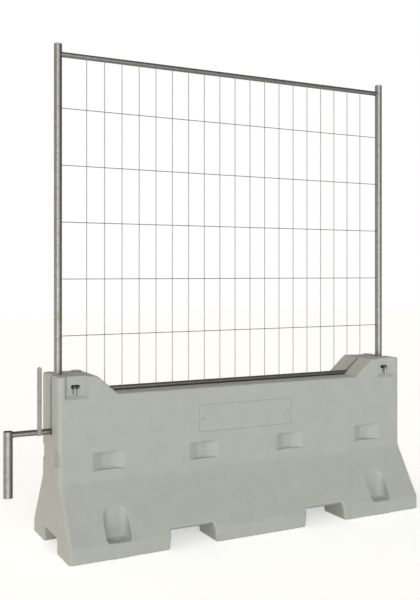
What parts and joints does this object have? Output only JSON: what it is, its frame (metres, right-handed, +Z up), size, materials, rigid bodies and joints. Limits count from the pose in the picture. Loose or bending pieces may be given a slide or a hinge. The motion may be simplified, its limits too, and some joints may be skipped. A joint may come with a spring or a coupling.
{
  "type": "water filled barrier",
  "caption": "Hollow moulded road barrier to be filled with water, with a steel mesh fence panel held by locking pins and a lift-in coupling link.",
  "frame": {"origin": "centre of the barrier's base, on the ground it stands on", "axes": "+X along the barrier to the right seen from the front, +Y from front to back, +Z up"},
  "size_m": [2.2207, 0.538, 2.3538],
  "materials": {
    "grey_polyethylene": "light grey rotationally moulded polyethylene, matt with a faint mottle",
    "galvanised_steel": "galvanised tube and wire, dull satin",
    "zinc_plated_steel": "zinc plated round bar, satin",
    "stainless_steel": "stainless screw heads",
    "grey_plastic": "grey plastic tube plugs",
    "grey_fitting_plastic": "grey injection moulded caps and threaded rings",
    "seal_rubber": "black flat rubber rings"
  },
  "bodies": {
    "barrier": {"barrier_body": "grey_polyethylene", "front_sign_plate": "grey_polyethylene", "rear_sign_plate": "grey_polyethylene", "sign_plate_screws": "stainless_steel", "left_filler_collar": "grey_fitting_plastic", "left_filler_seal": "seal_rubber", "right_filler_collar": "grey_fitting_plastic", "right_filler_seal": "seal_rubber", "drain_collar": "grey_fitting_plastic", "drain_seal": "seal_rubber"},
    "fence_panel": {"left_post": "galvanised_steel", "right_post": "galvanised_steel", "top_rail": "galvanised_steel", "bottom_rail": "galvanised_steel", "vertical_wires": "galvanised_steel", "horizontal_wire_1": "galvanised_steel", "horizontal_wire_2": "galvanised_steel", "horizontal_wire_3": "galvanised_steel", "horizontal_wire_4": "galvanised_steel", "horizontal_wire_5": "galvanised_steel", "post_caps": "grey_plastic"},
    "coupling_link": {"link_inner_tube": "galvanised_steel", "link_bar": "galvanised_steel", "link_outer_tube": "galvanised_steel", "link_handle": "galvanised_steel"},
    "left_pin": {"left_locking_pin": "zinc_plated_steel"},
    "right_pin": {"right_locking_pin": "zinc_plated_steel"},
    "left_cap": {"left_filler_cap": "grey_fitting_plastic"},
    "right_cap": {"right_filler_cap": "grey_fitting_plastic"},
    "drain": {"drain_plug": "grey_fitting_plastic"}
  },
  "joints": [
    {"name": "panel_lift", "type": "slide", "parent": "barrier", "child": "fence_panel", "axis": [0, 0, 1], "range_m": [0, 0.01]},
    {"name": "link_swing", "type": "hinge", "parent": "barrier", "child": "coupling_link", "pos_m": [-0.961, 0, 0.4], "axis": [0, 0, 1], "range_deg": [-9, 9]},
    {"name": "left_pin_turn", "type": "hinge", "parent": "barrier", "child": "left_pin", "pos_m": [-0.917, 0, 0.7558], "axis": [0, -1, 0], "range_deg": [0, 90]},
    {"name": "right_pin_turn", "type": "hinge", "parent": "barrier", "child": "right_pin", "pos_m": [0.908, 0, 0.7558], "axis": [0, 1, 0], "range_deg": [0, 90]},
    {"name": "left_cap_unscrew", "type": "hinge", "parent": "barrier", "child": "left_cap", "pos_m": [-0.85, 0.06, 0.806], "axis": [0, 0, 1], "range_deg": [0, 360]},
    {"name": "right_cap_unscrew", "type": "hinge", "parent": "barrier", "child": "right_cap", "pos_m": [0.934, 0.06, 0.806], "axis": [0, 0, 1], "range_deg": [0, 360]},
    {"name": "drain_plug_unscrew", "type": "hinge", "parent": "barrier", "child": "drain", "pos_m": [0.986, 0, 0.118], "axis": [1, 0, 0], "range_deg": [0, 360]}
  ]
}
